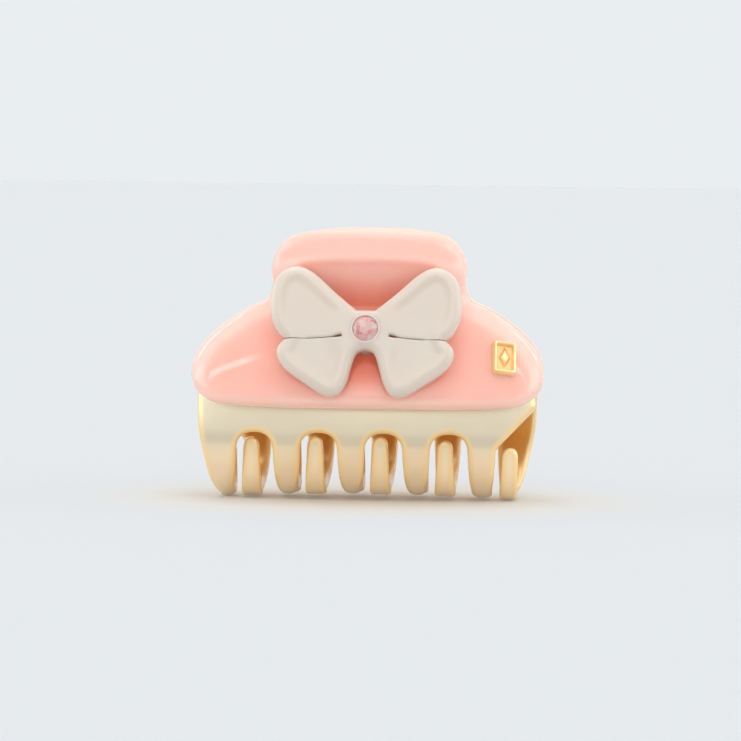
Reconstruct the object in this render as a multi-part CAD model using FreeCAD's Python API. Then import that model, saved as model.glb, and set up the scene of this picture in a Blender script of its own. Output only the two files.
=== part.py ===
import FreeCAD, Part
import math
import os

# Claw hair clip: two moulded jaws that interlock, hinged on a pin and closed by a torsion spring.
# Each jaw carries a thick acetate cover; the front cover carries a bow, a crystal and a stud.
# Frame: +X to the wearer's left along the hinge, -Y is the front, +Z is up. Millimetres.
# The origin lies on the plane that the teeth stand on, straight below the hinge.

V = FreeCAD.Vector

# ---- jaws ----
JAW_WALL = 2.2                 # thickness of wall, teeth and finger plate
JAW_INSET = 1.2                # how far the finger plate and wall stay inside the cover's edge
SKIRT_CUT = (2.2, 8.7)         # foot of the slanted cut beside the last tooth: from its middle, height
PLAN_RADIUS = 65.0             # the walls bow forward in plan on this radius
PLAN_REACH = 9.0               # distance from the hinge plane where the bow reaches its full depth
FOOT_ARC = 0.8                 # the middle teeth end this much higher than the end teeth

# ---- teeth ----
TOOTH_COUNT = 5
TOOTH_PITCH = 10.0
TOOTH_OFFSET = 2.2             # the middle tooth stands this far to the side of the centre
TOOTH_ROOT_WIDTH = 4.2
TOOTH_FOOT_WIDTH = 3.2
TIP_WIDTH = 2.45
ARCH_TOP = 10.7                # height of the arches between the teeth
TIP_HEIGHTS = (8.6, 9.5, 10.0, 10.0, 9.75)
BELOW_FEET = -1.0              # cutting outlines end here, under the teeth

# ---- covers ----
COVER_HALF_WIDTH = 27.5
COVER_TOP = 42.05
COVER_BOTTOM = 14.3
COVER_THICKNESS = 3.6
COVER_LINE_FOOT = 6.0          # the cover follows the jaw's line down to this height before trimming
COVER_EDGE_RADIUS = 1.8
PEG_RADIUS = 1.1
PEG_LENGTH = 1.6
PEG_PLACES = ((-11.0, 21.0), (11.0, 21.0), (0.0, 35.0))
PEG_CLEARANCE = 0.05

# ---- hinge ----
HINGE_HEIGHT = 29.5
PIN_RADIUS = 0.9
PIN_CLEARANCE = 0.05
PIN_HEAD_RADIUS = 1.5
PIN_HEAD_LENGTH = 0.6
PIN_END_PLAY = 0.1
KNUCKLE_RADIUS = 3.0
KNUCKLE_WIDTH = 2.7
KNUCKLE_GAP = 0.2              # side play between neighbouring knuckles
KNUCKLE_START = 4.0            # inner side of the inner knuckles
WEB_HALF_HEIGHT = 2.5

# ---- spring ----
SPRING_WIRE = 0.9
SPRING_COIL_RADIUS = 1.95
SPRING_TURNS = 6
SPRING_PITCH = 1.0
SPRING_LEG_END = 36.0          # height at which the legs press on the finger plates
SPRING_SEAT_GAP = 0.3
SPRING_TURN_POINTS = 16        # points of the wire's curve in one turn and along one leg
SPRING_LEG_POINTS = 6

# ---- bow, crystal and stud ----
BOW_HEIGHT = 26.4              # height of the bow's centre
BOW_THICKNESS = 3.0
BOW_TILT = 13.0                # degrees that the bow leans back
BOW_BACK_DISTANCE = 14.3       # distance of the bow's back from the hinge plane at its centre
BOW_EDGE_RADIUS = 1.2
BOW_BOSS_RADIUS = 3.4
CRYSTAL_RADIUS = 1.95
CRYSTAL_SEAT_CLEARANCE = 0.05
CRYSTAL_CROWN = 1.0
CRYSTAL_DEPTH = 1.3
CRYSTAL_TABLE = 0.55           # table radius as a share of the girdle radius
CRYSTAL_SIDES = 8
STUD_PLACE = (21.0, 22.4)
STUD_WIDTH = 3.7
STUD_HEIGHT = 5.3
STUD_THICKNESS = 1.2
STUD_BEVEL = 0.7
STUD_PIN_RADIUS = 0.4
STUD_PIN_LENGTH = 1.6
STUD_PIN_SPACING = 2.8
STUD_PIN_CLEARANCE = 0.03
STUD_SEAT_DEPTH = 0.6          # the stud's back is cut to the cover from this deep

PLAN_STATIONS = 8              # sections across the width that each shell is drawn through
FAR = 40.0                     # reach of cutting prisms, past every piece

# Middle line of a jaw's wall, as (distance in front of the hinge plane, height), from above the
# finger plate, round the waist and the dome, down the teeth, under the clip and up the tips.
JAW_LINE = (
    (11.6, 45.0), (9.4, 40.4), (7.2, 36.0), (5.5, 32.4), (5.1, 29.6), (6.7, 26.0), (9.1, 22.0),
    (10.9, 18.0), (11.8, 14.0), (11.9, 10.0), (11.0, 6.4), (8.9, 3.4), (5.4, 1.6), (0.6, 1.1),
    (-4.8, 1.3), (-8.2, 2.6), (-9.3, 5.6), (-9.3, 11.5),
)

# Free side of the end tooth and the skirt above it, as (half width, height), downwards.
SKIRT_SIDE = (
    (26.2, 18.0), (26.2, 14.7), (26.0, 10.9), (25.1, 6.7), (24.3, 3.3), (23.7, -1.0),
)

# Right half of the cover's outline, as shares of the half width and of the height above the
# hinge or below it.
COVER_OUTLINE = (
    (0.000, -1.000), (0.420, -1.005), (0.730, -0.995), (0.895, -0.945), (0.978, -0.820),
    (1.000, -0.640), (0.978, -0.475), (0.898, -0.270), (0.782, -0.100), (0.660, 0.035),
    (0.585, 0.130), (0.558, 0.270), (0.562, 0.500), (0.536, 0.700), (0.462, 0.862),
    (0.320, 0.965), (0.000, 1.000),
)

# Right half of the bow's outline about its centre, wing by wing.
UPPER_WING = (
    (1.4, 3.0), (3.4, 4.6), (6.0, 6.9), (8.5, 9.0), (10.6, 9.75), (12.5, 9.2),
    (13.9, 7.6), (14.5, 5.4), (14.5, 2.6), (13.8, 0.2), (12.3, -1.5),
)
WING_SLIT = ((8.0, -1.25), (3.6, -1.05), (8.0, -1.75))
LOWER_WING = (
    (12.4, -2.0), (13.5, -3.4), (13.0, -5.2), (11.0, -7.1), (8.0, -9.1), (5.8, -10.2),
    (4.2, -10.1), (3.1, -8.9), (2.35, -6.8), (1.8, -4.8), (1.1, -3.3),
)


def spline(points, periodic=False):
    """Smooth curve through the points."""
    curve = Part.BSplineCurve()
    curve.interpolate(Points=points, PeriodicFlag=periodic)
    return curve


def polyline(points):
    """Closed wire of straight edges."""
    return Part.makePolygon(list(points) + [points[0]])


def prism(wire, y_from, y_to):
    """Solid between two planes across Y from a closed wire drawn in the plane y = 0."""
    face = Part.Face(wire)
    solid = face.extrude(V(0, y_to - y_from, 0))
    solid.translate(V(0, y_from, 0))
    return solid


def sagitta(x):
    """How far the plan radius has fallen back at x."""
    return PLAN_RADIUS - math.sqrt(PLAN_RADIUS ** 2 - x ** 2)


def end_tooth_place():
    return TOOTH_OFFSET + TOOTH_PITCH * (TOOTH_COUNT - 1) / 2


def bowed(distance, height, x):
    """A point of the jaw's line carried to the station x: bowed in plan, lifted in the middle."""
    reach = math.sin(min(1.0, abs(distance) / PLAN_REACH) * math.pi / 2)
    across = abs(x) if distance > 0 else min(abs(x), end_tooth_place() + TOOTH_ROOT_WIDTH / 2)
    distance -= math.copysign(sagitta(across) * reach, distance)
    share = min(1.0, abs(x) / end_tooth_place())
    low = max(0.0, 1 - height / COVER_BOTTOM)
    return distance, height + FOOT_ARC * (1 - share ** 2) * low


def line_samples(x, line):
    """Points and outward normals along a jaw's line at the station x."""
    curve = spline([V(0, -d, z + foot_lift) for d, z in (bowed(d, z, x) for d, z in line)])
    samples = []
    count = 3 * len(line)
    for index in range(count + 1):
        u = curve.FirstParameter + (curve.LastParameter - curve.FirstParameter) * index / count
        along = curve.tangent(u)[0]
        samples.append((curve.value(u), V(0, along.z, -along.y)))
    return samples


def offset_curve(x, offset, line):
    return spline([point + normal * offset + V(x, 0, 0) for point, normal in line_samples(x, line)])


def band(inner_offset, outer_offset, line, half):
    """Solid between two offsets of a jaw's line, out to the half width."""
    wires = []
    for index in range(PLAN_STATIONS + 1):
        x = half * (2.0 * index / PLAN_STATIONS - 1)
        outer = offset_curve(x, outer_offset, line)
        inner = offset_curve(x, inner_offset, line)
        first = Part.LineSegment(inner.StartPoint, outer.StartPoint)
        last = Part.LineSegment(outer.EndPoint, inner.EndPoint)
        wires.append(Part.Wire([first.toShape(), outer.toShape(), last.toShape(), inner.toShape()]))
    return Part.makeLoft(wires, True, False)


def cover_outline(inset):
    """Closed outline of the cover in the plane y = 0, or of a plate that much smaller."""
    half = COVER_HALF_WIDTH - inset
    above = COVER_TOP - inset - HINGE_HEIGHT
    below = HINGE_HEIGHT - COVER_BOTTOM
    right = [(half * x, HINGE_HEIGHT + z * (above if z > 0 else below)) for x, z in COVER_OUTLINE]
    left = [(-x, z) for x, z in reversed(right[1:-1])]
    points = [V(x, 0, z) for x, z in right + left]
    return Part.Wire(spline(points, True).toShape())


def line_distance(x, height, offset=0.0):
    """Distance in front of the hinge plane of a surface beside the jaw's line, at x and height."""
    points = [point + normal * offset for point, normal in line_samples(x, COVER_LINE)]
    for upper, lower in zip(points, points[1:]):
        if upper.z >= height >= lower.z:
            share = (upper.z - height) / (upper.z - lower.z)
            return -(upper.y + (lower.y - upper.y) * share)
    raise ValueError("height is outside the covered part of the jaw")


def along_y(radius, x, z, y_from, y_to):
    """Round bar parallel to Y."""
    return Part.makeCylinder(radius, y_to - y_from, V(x, y_from, z), V(0, 1, 0))


def along_x(radius, x_from, x_to):
    """Round bar on the hinge axis."""
    return Part.makeCylinder(radius, x_to - x_from, V(x_from, 0, HINGE_HEIGHT), V(1, 0, 0))


def edge(start, end):
    return Part.LineSegment(start, end).toShape()


def tooth_places():
    middle = (TOOTH_COUNT - 1) / 2
    return [TOOTH_PITCH * (index - middle) - TOOTH_OFFSET for index in range(TOOTH_COUNT)]


def flank(place, side):
    """The three points up one side of a tooth, from under its foot to the root."""
    foot = place + side * TOOTH_FOOT_WIDTH / 2
    root = place + side * TOOTH_ROOT_WIDTH / 2
    arch_radius = (TOOTH_PITCH - TOOTH_ROOT_WIDTH) / 2
    return [V(foot, 0, BELOW_FEET), V(foot, 0, JAW_WALL), V(root, 0, ARCH_TOP - arch_radius)]


def skirt_outline():
    """Closed outline of the uncovered wall with its teeth and arches."""
    places = tooth_places()
    free_side = spline([V(-x, 0, z) for x, z in SKIRT_SIDE]).toShape()
    edges = [free_side]
    last = V(-SKIRT_SIDE[-1][0], 0, SKIRT_SIDE[-1][1])
    for place, following in zip(places, places[1:]):
        up = flank(place, 1)
        down = flank(following, -1)
        apex = V((up[2].x + down[2].x) / 2, 0, ARCH_TOP)
        edges += [edge(last, up[0]), edge(up[0], up[1]), edge(up[1], up[2])]
        edges.append(Part.Arc(up[2], apex, down[2]).toShape())
        edges += [edge(down[2], down[1]), edge(down[1], down[0])]
        last = down[0]
    up = flank(places[-1], 1)
    cut_foot = V(places[-1] + SKIRT_CUT[0], 0, SKIRT_CUT[1])
    cut_top = V(SKIRT_SIDE[1][0], 0, SKIRT_SIDE[1][1])
    top = V(SKIRT_SIDE[0][0], 0, SKIRT_SIDE[0][1])
    corners = [last, up[0], up[1], cut_foot, cut_top, top, V(-top.x, 0, top.z)]
    edges += [edge(start, end) for start, end in zip(corners, corners[1:])]
    return Part.Wire(edges)


def tip_prisms():
    """One prism per tooth, behind the hinge plane, tapering to the tooth's rounded tip."""
    prisms = []
    for place, height in zip(tooth_places(), TIP_HEIGHTS):
        foot = TOOTH_FOOT_WIDTH / 2
        tip = TIP_WIDTH / 2
        shoulder = height - tip
        corners = [
            V(place + tip, 0, shoulder), V(place + foot, 0, JAW_WALL), V(place + foot, 0, BELOW_FEET),
            V(place - foot, 0, BELOW_FEET), V(place - foot, 0, JAW_WALL), V(place - tip, 0, shoulder),
        ]
        edges = [edge(start, end) for start, end in zip(corners, corners[1:])]
        edges.append(Part.Arc(corners[-1], V(place, 0, height), corners[0]).toShape())
        prisms.append(prism(Part.Wire(edges), 0, FAR))
    return prisms


def knuckle(x_from):
    """Ring round the hinge pin with the web that joins it to the wall, pin hole not yet cut."""
    far_side = max(abs(x_from), abs(x_from + KNUCKLE_WIDTH))
    wall = [
        point for point, normal in line_samples(far_side, COVER_LINE)
        if abs(point.z - HINGE_HEIGHT) <= WEB_HALF_HEIGHT
    ]
    corners = [V(0, 0, HINGE_HEIGHT + WEB_HALF_HEIGHT), V(0, wall[0].y, HINGE_HEIGHT + WEB_HALF_HEIGHT)]
    corners += wall
    corners += [V(0, wall[-1].y, HINGE_HEIGHT - WEB_HALF_HEIGHT), V(0, 0, HINGE_HEIGHT - WEB_HALF_HEIGHT)]
    web = Part.Face(polyline(corners)).extrude(V(KNUCKLE_WIDTH, 0, 0))
    web.translate(V(x_from, 0, 0))
    return web.fuse(along_x(KNUCKLE_RADIUS, x_from, x_from + KNUCKLE_WIDTH))


def peg_end(x, z):
    return line_distance(x, z, JAW_WALL / 2) + PEG_LENGTH


def make_jaw():
    """The front jaw; the rear one is the same moulding turned half round."""
    outline = prism(cover_outline(JAW_INSET), -FAR, 0).fuse(prism(skirt_outline(), -FAR, 0))
    for tip in tip_prisms():
        outline = outline.fuse(tip)
    jaw = band(-JAW_WALL / 2, JAW_WALL / 2, JAW_LINE, SKIRT_SIDE[0][0] + JAW_INSET / 2).common(outline)
    jaw = jaw.fuse(knuckle(-KNUCKLE_END)).fuse(knuckle(KNUCKLE_START))
    for x, z in PEG_PLACES:
        jaw = jaw.fuse(along_y(PEG_RADIUS, x, z, -peg_end(x, z), -line_distance(x, z)))
    return jaw.cut(along_x(PIN_RADIUS + PIN_CLEARANCE, -FAR, FAR))


def make_cover():
    """Thick shell over the jaw's outer face, pillowed round its edge, with blind peg holes."""
    shell = band(JAW_WALL / 2, JAW_WALL / 2 + COVER_THICKNESS, COVER_LINE, COVER_HALF_WIDTH + 1)
    cover = shell.common(prism(cover_outline(0), -FAR, 0))
    rims = sorted((rim for rim in cover.Edges if rim.Closed), key=lambda rim: rim.CenterOfMass.y)
    cover = cover.makeFillet(COVER_EDGE_RADIUS, [rims[0]])
    for x, z in PEG_PLACES:
        hole = PEG_RADIUS + PEG_CLEARANCE
        cover = cover.cut(along_y(hole, x, z, -peg_end(x, z) - PEG_CLEARANCE, 0))
    return cover


def turned(shape):
    """The same piece on the rear side."""
    copy = shape.copy()
    copy.rotate(V(0, 0, 0), V(0, 0, 1), 180)
    return copy


def polygon_wire(radius, sides, y):
    points = []
    for index in range(sides):
        angle = 2 * math.pi * (index + 0.5) / sides
        points.append(V(radius * math.sin(angle), y, radius * math.cos(angle)))
    return polyline(points)


def lean(shape):
    """Tilt a piece drawn about the bow's back centre and carry it to its place."""
    shape.rotate(V(0, 0, 0), V(1, 0, 0), -BOW_TILT)
    shape.translate(V(0, -BOW_BACK_DISTANCE, BOW_HEIGHT))
    return shape


def bow_side(side):
    """Edges down one side of the bow, from its top notch to its bottom notch."""
    upper = [V(side * x, 0, z) for x, z in UPPER_WING]
    slit = [V(side * x, 0, z) for x, z in WING_SLIT]
    lower = [V(side * x, 0, z) for x, z in LOWER_WING]
    corners = [upper[-1]] + slit + [lower[0]]
    cuts = [edge(start, end) for start, end in zip(corners, corners[1:])]
    return [spline(upper).toShape()] + cuts + [spline(lower).toShape()]


def make_bow(cover):
    """Flat four-winged bow: the upper wings have rounded front edges, the middle a seat for the
    crystal and, behind, a boss that reaches back to the cover."""
    notches = [edge(V(-x, 0, z), V(x, 0, z)) for x, z in (UPPER_WING[0], LOWER_WING[-1])]
    wire = Part.Wire(Part.__sortEdges__(notches + bow_side(1) + bow_side(-1)))
    plate = Part.Face(wire).extrude(V(0, -BOW_THICKNESS, 0))
    crests = [
        rim for rim in plate.Edges
        if isinstance(rim.Curve, Part.BSplineCurve) and rim.CenterOfMass.z > 0
        and rim.CenterOfMass.y < -BOW_THICKNESS * 0.99
    ]
    plate = plate.makeFillet(BOW_EDGE_RADIUS, crests)
    boss = along_y(BOW_BOSS_RADIUS, 0, 0, -BOW_THICKNESS / 2, COVER_THICKNESS)
    seat = CRYSTAL_RADIUS + CRYSTAL_SEAT_CLEARANCE
    hole = along_y(seat, 0, 0, -BOW_THICKNESS - 1, CRYSTAL_DEPTH - BOW_THICKNESS)
    return lean(plate.fuse(boss).cut(hole)).cut(cover)


def make_crystal():
    """Cut stone: a straight-sided base under a faceted crown with a flat table."""
    sides = 2 * CRYSTAL_SIDES
    front = -BOW_THICKNESS
    base = Part.Face(polygon_wire(CRYSTAL_RADIUS, sides, front + CRYSTAL_DEPTH))
    base = base.extrude(V(0, -CRYSTAL_DEPTH, 0))
    girdle = polygon_wire(CRYSTAL_RADIUS, sides, front)
    table = polygon_wire(CRYSTAL_RADIUS * CRYSTAL_TABLE, sides, front - CRYSTAL_CROWN)
    return lean(base.fuse(Part.makeLoft([girdle, table], True, True)))


def stud_frame():
    """Place on the front cover's face, with local -Y along the face's outward normal."""
    x, z = STUD_PLACE
    offset = JAW_WALL / 2 + COVER_THICKNESS
    step = STUD_WIDTH / 2
    middle = V(x, -line_distance(x, z, offset), z)
    right = V(x + step, -line_distance(x + step, z, offset), z)
    left = V(x - step, -line_distance(x - step, z, offset), z)
    top = V(x, -line_distance(x, z + step, offset), z + step)
    bottom = V(x, -line_distance(x, z - step, offset), z - step)
    upward = (top - bottom).normalize()
    inward = upward.cross(right - left).normalize()
    return FreeCAD.Placement(middle, FreeCAD.Rotation(inward.cross(upward), inward, upward))


def stud_pins(frame, clearance):
    pins = []
    for side in (-1, 1):
        pin = along_y(STUD_PIN_RADIUS + clearance, 0, side * STUD_PIN_SPACING / 2, 0,
                      STUD_PIN_LENGTH + clearance)
        pin.Placement = frame.multiply(pin.Placement)
        pins.append(pin)
    return pins


def make_stud(frame, cover):
    """Plain bevelled plate that follows the cover's face, with two pins behind it."""
    def rectangle(shrink, y):
        width = STUD_WIDTH / 2 - shrink
        height = STUD_HEIGHT / 2 - shrink
        return polyline([V(-width, y, -height), V(width, y, -height), V(width, y, height),
                         V(-width, y, height)])
    rim = STUD_BEVEL - STUD_THICKNESS
    plate = Part.Face(rectangle(0, rim)).extrude(V(0, STUD_SEAT_DEPTH - rim, 0))
    plate = plate.fuse(Part.makeLoft([rectangle(0, rim), rectangle(STUD_BEVEL, -STUD_THICKNESS)], True, True))
    plate.Placement = frame
    stud = plate.cut(cover)
    for pin in stud_pins(frame, 0):
        stud = stud.fuse(pin)
    return stud


def make_pin():
    """Hinge pin with a head at one end and a peened end at the other."""
    far_end = KNUCKLE_END + PIN_END_PLAY
    pin = along_x(PIN_RADIUS, -KNUCKLE_END, far_end)
    pin = pin.fuse(along_x(PIN_HEAD_RADIUS, -KNUCKLE_END - PIN_HEAD_LENGTH, -KNUCKLE_END))
    return pin.fuse(along_x(PIN_HEAD_RADIUS, far_end, far_end + PIN_HEAD_LENGTH))


def make_spring():
    """Torsion spring: a close coil round the pin with one leg behind each finger plate."""
    wire = SPRING_WIRE / 2
    rise = SPRING_LEG_END - HINGE_HEIGHT
    reach = line_distance(0, SPRING_LEG_END, -JAW_WALL / 2) - wire - SPRING_SEAT_GAP
    spread = math.atan2(reach, rise) - math.asin(SPRING_COIL_RADIUS / math.hypot(reach, rise))
    turns = SPRING_TURNS + 0.5 - spread / math.pi
    half = turns * SPRING_PITCH / 2
    leg = (rise + SPRING_COIL_RADIUS * math.sin(spread)) / math.cos(spread)
    coil = []
    count = round(turns * SPRING_TURN_POINTS)
    for index in range(count + 1):
        angle = spread - math.pi / 2 + 2 * math.pi * turns * index / count
        coil.append(V(half * (2 * index / count - 1), SPRING_COIL_RADIUS * math.sin(angle),
                      HINGE_HEIGHT - SPRING_COIL_RADIUS * math.cos(angle)))
    steps = [leg * index / SPRING_LEG_POINTS for index in range(1, SPRING_LEG_POINTS + 1)]
    up_front = V(0, -math.sin(spread), math.cos(spread))
    up_rear = V(0, math.sin(spread), math.cos(spread))
    front_leg = [coil[0] + up_front * step for step in reversed(steps)]
    rear_leg = [coil[-1] + up_rear * step for step in steps]
    path = spline(front_leg + coil + rear_leg)
    section = Part.Wire(Part.makeCircle(wire, path.StartPoint, path.tangent(path.FirstParameter)[0]))
    return Part.Wire(path.toShape()).makePipeShell([section], True, False)


# The line is raised so that the end teeth stand on the ground.
foot_lift = 0.0
end_tooth = line_samples(end_tooth_place() + TOOTH_FOOT_WIDTH / 2, JAW_LINE)
foot_lift = -min((point + normal * (JAW_WALL / 2)).z for point, normal in end_tooth)

COVER_LINE = tuple(point for point in JAW_LINE if point[1] > COVER_LINE_FOOT and point[0] > 0)
KNUCKLE_END = KNUCKLE_START + 2 * KNUCKLE_WIDTH + KNUCKLE_GAP

jaw = make_jaw()
plain_cover = make_cover()
frame = stud_frame()
front_cover = plain_cover.copy()
for stud_hole in stud_pins(frame, STUD_PIN_CLEARANCE):
    front_cover = front_cover.cut(stud_hole)

parts = {
    "front_jaw": jaw,
    "rear_jaw": turned(jaw),
    "front_cover": front_cover,
    "rear_cover": turned(plain_cover),
    "bow": make_bow(plain_cover),
    "crystal": make_crystal(),
    "badge_stud": make_stud(frame, front_cover),
    "hinge_pin": make_pin(),
    "spring": make_spring(),
}

os.makedirs("parts", exist_ok=True)
for name, shape in parts.items():
    if not shape.isValid() or len(shape.Solids) != 1:
        print("check", name, shape.isValid(), len(shape.Solids))
    shape.Solids[0].exportStep("parts/%s.step" % name)
    box = shape.optimalBoundingBox()
    print(name, round(shape.Volume, 1), [round(v, 2) for v in
          (box.XMin, box.YMin, box.ZMin, box.XMax, box.YMax, box.ZMax)])
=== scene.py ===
"""Looks of a spring-closed claw hair clip with a bow, a crystal and a stud on its front cover.

Shapes are worked out in millimetres in the frame's own axes (+X to the stud's side, -Y to the
front, +Z up) and become metres when a mesh is made.
"""

import logging
import math
from dataclasses import dataclass, field
from enum import Enum
from typing import Any, Callable

import bpy
import numpy as np
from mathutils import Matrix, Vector
from mathutils.geometry import delaunay_2d_cdt

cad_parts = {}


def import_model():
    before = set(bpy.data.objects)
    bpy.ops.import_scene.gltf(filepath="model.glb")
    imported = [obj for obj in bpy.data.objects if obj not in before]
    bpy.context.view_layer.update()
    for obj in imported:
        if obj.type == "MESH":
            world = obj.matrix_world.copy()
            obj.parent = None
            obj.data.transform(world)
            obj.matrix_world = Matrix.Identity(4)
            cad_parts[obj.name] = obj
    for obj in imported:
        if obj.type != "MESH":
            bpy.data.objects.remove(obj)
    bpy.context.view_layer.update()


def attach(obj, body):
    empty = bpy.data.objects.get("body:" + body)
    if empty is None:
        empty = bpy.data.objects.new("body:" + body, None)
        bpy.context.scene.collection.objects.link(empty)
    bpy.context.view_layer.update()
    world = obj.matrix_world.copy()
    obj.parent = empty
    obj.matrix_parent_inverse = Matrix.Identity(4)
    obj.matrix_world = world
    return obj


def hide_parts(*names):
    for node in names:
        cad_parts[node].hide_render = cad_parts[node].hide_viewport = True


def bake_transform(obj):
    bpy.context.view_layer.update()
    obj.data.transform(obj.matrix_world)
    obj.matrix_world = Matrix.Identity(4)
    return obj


LOG = logging.getLogger("claw_clip")
MM = 0.001
HINGE = 29.5

Array = np.ndarray
Surface = Callable[[Array], Array]


class Side(Enum):
    """Which of the two like halves of the clip a piece belongs to."""

    FRONT = "front"
    REAR = "rear"

    @property
    def body(self) -> str:
        """Name of the body that the half moves with."""
        return self.value + "_side"

    @property
    def turn(self) -> float:
        """Sign that carries front coordinates x and y to this half."""
        return 1.0 if self is Side.FRONT else -1.0


# ---------------------------------------------------------------- curves and outlines


def through(points: Array, steps: int, closed: bool = False) -> Array:
    """Smooth curve through points: cubic pieces whose slope and bend agree where they meet.

    The slopes m solve h1*m0 + 2*(h0+h1)*m1 + h0*m2 = 3*(h1*d0 + h0*d1), where h are the chords
    and d the chord slopes; a free end takes the slope of the parabola through its three points.

    Args:
        points: Corner points, one per row.
        steps: Samples in each piece.
        closed: Whether the last point runs on to the first.

    Returns:
        Samples along the curve, the end point included on an open curve.
    """
    pts = np.vstack([points, points[:1]]) if closed else np.asarray(points, float)
    chord = np.linalg.norm(np.diff(pts, axis=0), axis=1)
    slope = np.diff(pts, axis=0) / chord[:, None]
    count = len(pts)
    matrix = np.zeros((count, count))
    right = np.zeros((count, pts.shape[1]))
    inner = np.arange(1, count - 1)
    matrix[inner, inner - 1] = chord[inner]
    matrix[inner, inner] = 2 * (chord[inner - 1] + chord[inner])
    matrix[inner, inner + 1] = chord[inner - 1]
    right[inner] = 3 * (chord[inner, None] * slope[inner - 1] + chord[inner - 1, None] * slope[inner])
    if closed:
        matrix[0, [0, -1]] = 1, -1
        matrix[-1, [-2, 0, 1]] = chord[0], 2 * (chord[-1] + chord[0]), chord[-1]
        right[-1] = 3 * (chord[0] * slope[-1] + chord[-1] * slope[0])
    else:
        matrix[0, 0] = matrix[-1, -1] = 1
        right[0] = slope[0] - chord[0] * (slope[1] - slope[0]) / (chord[0] + chord[1])
        right[-1] = slope[-1] + chord[-1] * (slope[-1] - slope[-2]) / (chord[-1] + chord[-2])
    tangent = np.linalg.solve(matrix, right)
    t = (np.arange(steps) / steps)[None, :, None]
    h = chord[:, None, None]
    p0, p1 = pts[:-1, None], pts[1:, None]
    m0, m1 = tangent[:-1, None] * h, tangent[1:, None] * h
    curve = ((1 + 2 * t) * (1 - t) ** 2 * p0 + t * (1 - t) ** 2 * m0
             + t ** 2 * (3 - 2 * t) * p1 - t ** 2 * (1 - t) * m1)
    curve = curve.reshape(-1, pts.shape[1])
    return curve if closed else np.vstack([curve, pts[-1:]])


def evenly(loop: Array, spacing: float) -> Array:
    """Points at even steps round a closed loop.

    Args:
        loop: Corner points of the loop.
        spacing: Wanted step.

    Returns:
        The new points, the first not repeated.
    """
    closed = np.vstack([loop, loop[:1]])
    run = np.concatenate([[0], np.cumsum(np.linalg.norm(np.diff(closed, axis=0), axis=1))])
    places = np.linspace(0, run[-1], max(8, round(run[-1] / spacing)), endpoint=False)
    return np.stack([np.interp(places, run, closed[:, axis]) for axis in (0, 1)], axis=1)


def softened(loop: Array, passes: int) -> Array:
    """Loop with its corners eased: each point moves to (1, 2, 1) / 4 of its neighbours."""
    for _ in range(passes):
        loop = (np.roll(loop, 1, 0) + 2 * loop + np.roll(loop, -1, 0)) / 4
    return loop


def inward(loop: Array) -> Array:
    """Unit vectors that point into a loop from each of its points."""
    ahead = np.roll(loop, -1, 0) - np.roll(loop, 1, 0)
    ahead /= np.linalg.norm(ahead, axis=1)[:, None]
    area = np.sum(loop[:, 0] * np.roll(loop[:, 1], -1) - np.roll(loop[:, 0], -1) * loop[:, 1])
    return np.stack([-ahead[:, 1], ahead[:, 0]], axis=1) * np.sign(area)


def anticlockwise(loop: Array) -> Array:
    """The loop with its points in anticlockwise order."""
    area = np.sum(loop[:, 0] * np.roll(loop[:, 1], -1) - np.roll(loop[:, 0], -1) * loop[:, 1])
    return loop if area > 0 else loop[::-1]


def distance_to(points: Array, line: Array, closed: bool = True) -> Array:
    """Shortest distance from each point to a line of straight pieces.

    Args:
        points: Places to measure from.
        line: Corner points of the line.
        closed: Whether the line runs back to its start.

    Returns:
        One distance per point.
    """
    start = line if closed else line[:-1]
    step = (np.roll(line, -1, 0) if closed else line[1:]) - start
    length = np.maximum(np.sum(step ** 2, axis=1), 1e-12)
    best = np.full(len(points), np.inf)
    for block in np.array_split(np.arange(len(points)), max(1, len(points) // 4000)):
        gap = points[block, None] - start[None]
        share = np.clip(np.sum(gap * step[None], axis=2) / length, 0, 1)
        near = gap - share[..., None] * step[None]
        best[block] = np.sqrt(np.min(np.sum(near ** 2, axis=2), axis=1))
    return best


def inside(points: Array, loop: Array) -> Array:
    """Which points lie in a loop, by counting the edges crossed to the right of each."""
    x0, y0 = loop[:, 0], loop[:, 1]
    x1, y1 = np.roll(x0, -1), np.roll(y0, -1)
    odd = np.zeros(len(points), bool)
    for block in np.array_split(np.arange(len(points)), max(1, len(points) // 4000)):
        px, py = points[block, 0][:, None], points[block, 1][:, None]
        spans = (y0[None] > py) != (y1[None] > py)
        with np.errstate(divide="ignore", invalid="ignore"):
            at = x0[None] + (py - y0[None]) * (x1 - x0)[None] / (y1 - y0)[None]
        odd[block] = np.sum(spans & (px < at), axis=1) % 2 == 1
    return odd


def smooth(low: float, high: float, value: Array) -> Array:
    """Rises from 0 at low to 1 at high along t*t*(3 - 2*t)."""
    t = np.clip((value - low) / (high - low), 0, 1)
    return t * t * (3 - 2 * t)


def rounding(distance: Array, radius: Any) -> Array:
    """Drop of a quarter-round edge: 1 - sqrt(1 - (1 - d/r)^2), from 1 at the edge to 0 at r."""
    t = np.clip(1 - distance / radius, 0, 1)
    return 1 - np.sqrt(np.maximum(0, 1 - t * t))


# ---------------------------------------------------------------- meshes


def make_object(name: str, points: Array, faces: list, flat: bool = False) -> bpy.types.Object:
    """Mesh object at the origin from points in millimetres.

    Args:
        name: Name of the piece.
        points: Vertices in millimetres.
        faces: Vertex indices of each face, or an array of them.
        flat: Whether the faces keep hard edges.

    Returns:
        The new object, linked to the scene.
    """
    mesh = bpy.data.meshes.new(name)
    mesh.from_pydata((points * MM).tolist(), [], [list(map(int, face)) for face in faces])
    mesh.validate()
    mesh.polygons.foreach_set("use_smooth", [not flat] * len(mesh.polygons))
    mesh.update()
    obj = bpy.data.objects.new(name, mesh)
    bpy.context.scene.collection.objects.link(obj)
    return obj


def add_attribute(obj: bpy.types.Object, name: str, values: Array) -> None:
    """Stores one number per vertex for the materials."""
    obj.data.attributes.new(name, "FLOAT", "POINT").data.foreach_set("value", values)


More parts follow.
